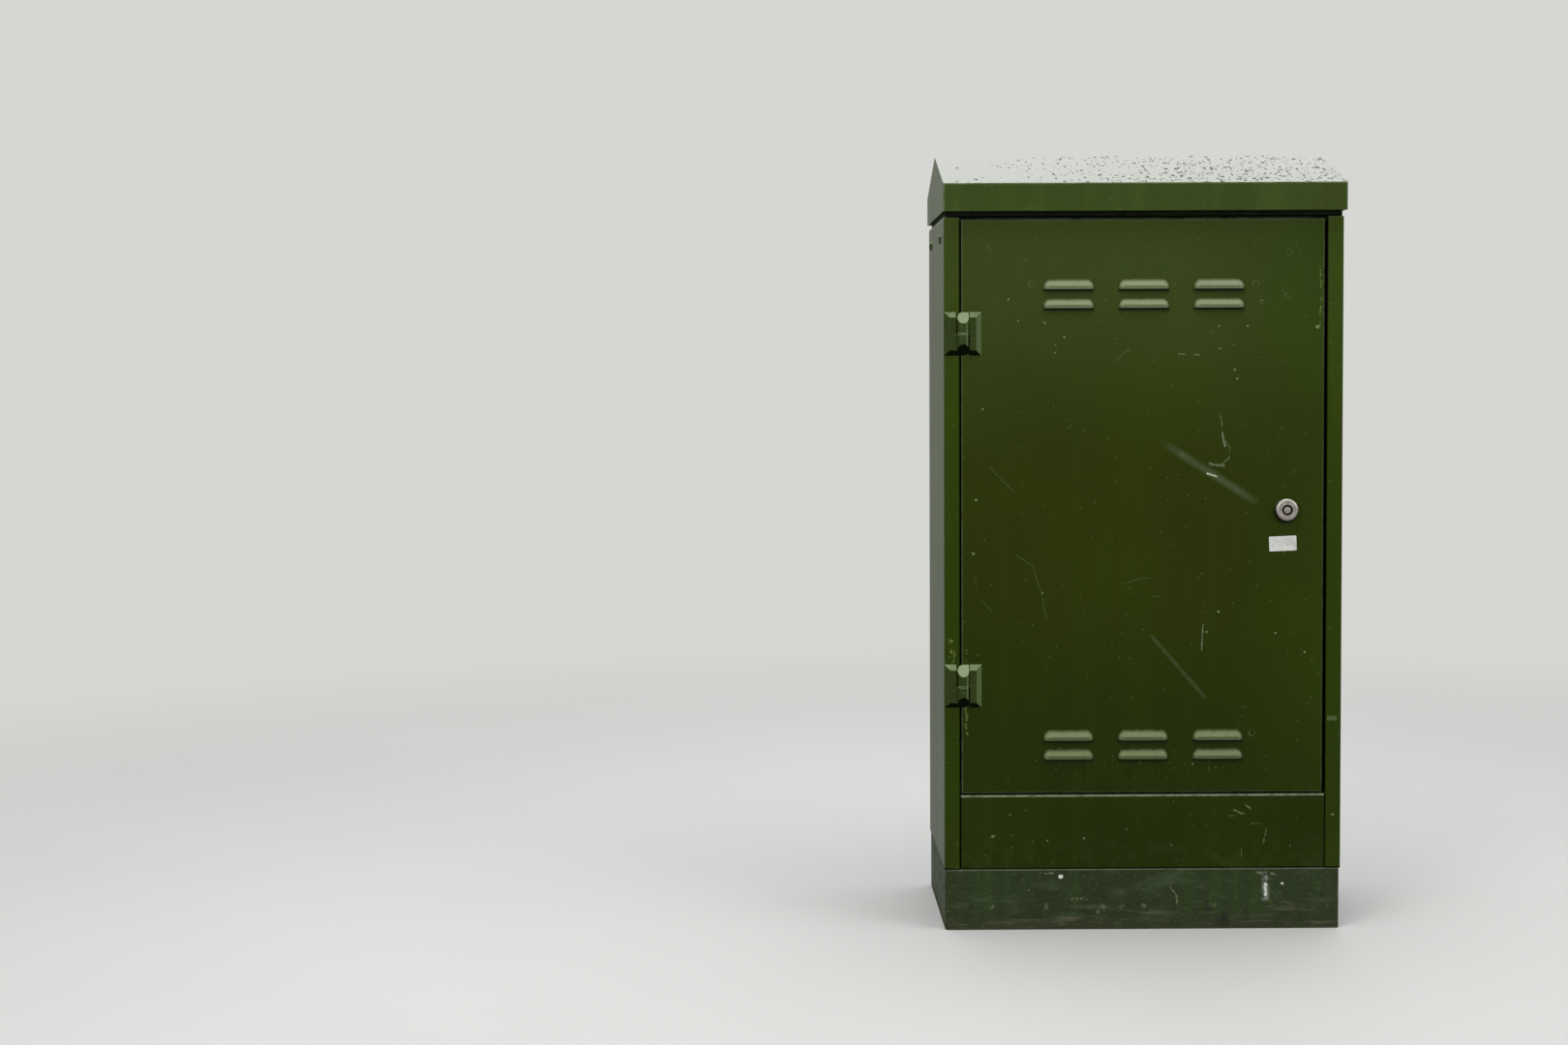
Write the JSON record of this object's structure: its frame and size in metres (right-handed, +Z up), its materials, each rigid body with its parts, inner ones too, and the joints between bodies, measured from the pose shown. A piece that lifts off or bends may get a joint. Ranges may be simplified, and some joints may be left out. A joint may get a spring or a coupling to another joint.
{
  "type": "roadside utility cabinet",
  "caption": "Free-standing green steel roadside cabinet with a sloped roof, a louvred front door on block hinges, a rod lock and a bolt-down plinth.",
  "frame": {"origin": "centre of the footprint at ground level", "axes": "+Z up, +Y from the door towards the back, +X to the right along the front"},
  "size_m": [0.557, 0.332, 1.082],
  "materials": {
    "body_paint": "satin olive green powder coat, weathered",
    "roof_paint": "satin green powder coat, wet on top",
    "plinth_paint": "matt green coating, muddy and scratched",
    "door_paint": "satin olive green powder coat, scuffed",
    "hinge_paint": "satin green paint over a casting",
    "stainless": "plain stainless steel",
    "zinc_steel": "bright zinc plate",
    "lock_steel": "satin stainless steel",
    "galvanised": "galvanised sheet",
    "brass": "plain brass",
    "seal_rubber": "black cellular rubber",
    "guide_nylon": "black moulded nylon",
    "terminal_plastic": "grey moulded plastic",
    "insulator_resin": "red moulded resin"
  },
  "bodies": {
    "cabinet": {"left_side": "body_paint", "right_side": "body_paint", "back_panel": "body_paint", "header_rail": "body_paint", "threshold_rail": "body_paint", "kick_panel": "body_paint", "roof_bearer_left": "body_paint", "roof_bearer_right": "body_paint", "roof": "roof_paint", "plinth": "plinth_paint", "hinge_leaf_frame_upper": "hinge_paint", "hinge_leaf_frame_lower": "hinge_paint", "hinge_pin_upper": "stainless", "hinge_pin_lower": "stainless", "roof_bolts": "stainless", "roof_nuts": "zinc_steel", "plinth_bolts": "zinc_steel", "plinth_nuts": "zinc_steel", "hinge_frame_nuts": "zinc_steel", "plate_standoffs": "zinc_steel", "plate_screws": "zinc_steel", "gland_plate": "galvanised", "equipment_plate": "galvanised", "din_rail_upper": "galvanised", "din_rail_lower": "galvanised", "earth_bar": "brass", "hinge_washer_upper": "brass", "hinge_washer_lower": "brass", "cable_grommets": "seal_rubber", "terminal_blocks": "terminal_plastic", "earth_bar_insulators": "insulator_resin"},
    "door": {"door_panel": "door_paint", "door_stiffener": "door_paint", "vent_baffle_upper": "door_paint", "vent_baffle_lower": "door_paint", "hinge_leaf_door_upper": "hinge_paint", "hinge_leaf_door_lower": "hinge_paint", "hinge_door_nuts": "zinc_steel", "door_seal": "seal_rubber", "lock_body": "lock_steel", "lock_nut": "zinc_steel", "rod_guide_1": "guide_nylon", "rod_guide_2": "guide_nylon", "rod_guide_3": "guide_nylon", "rod_guide_4": "guide_nylon"},
    "lock_cylinder": {"lock_core": "lock_steel", "lock_cam": "zinc_steel", "cam_screw": "zinc_steel"},
    "upper_rod": {"upper_rod": "zinc_steel"},
    "lower_rod": {"lower_rod": "zinc_steel"}
  },
  "joints": [
    {"name": "door_hinge", "type": "hinge", "parent": "cabinet", "child": "door", "pos_m": [-0.249, -0.158, 0.5], "axis": [0, 0, -1], "range_deg": [0, 170]},
    {"name": "lock_turn", "type": "hinge", "parent": "door", "child": "lock_cylinder", "pos_m": [0.197, -0.15, 0.583], "axis": [0, -1, 0], "range_deg": [0, 90]},
    {"name": "upper_rod_slide", "type": "slide", "parent": "door", "child": "upper_rod", "axis": [0, 0, 1], "range_m": [0, 0.0227]},
    {"name": "lower_rod_slide", "type": "slide", "parent": "door", "child": "lower_rod", "axis": [0, 0, -1], "range_m": [0, 0.0227]}
  ],
  "couplings": [
    {"joint": "upper_rod_slide", "follows": "lock_turn", "m_per_rad": 0.014405},
    {"joint": "lower_rod_slide", "follows": "lock_turn", "m_per_rad": 0.014405}
  ]
}
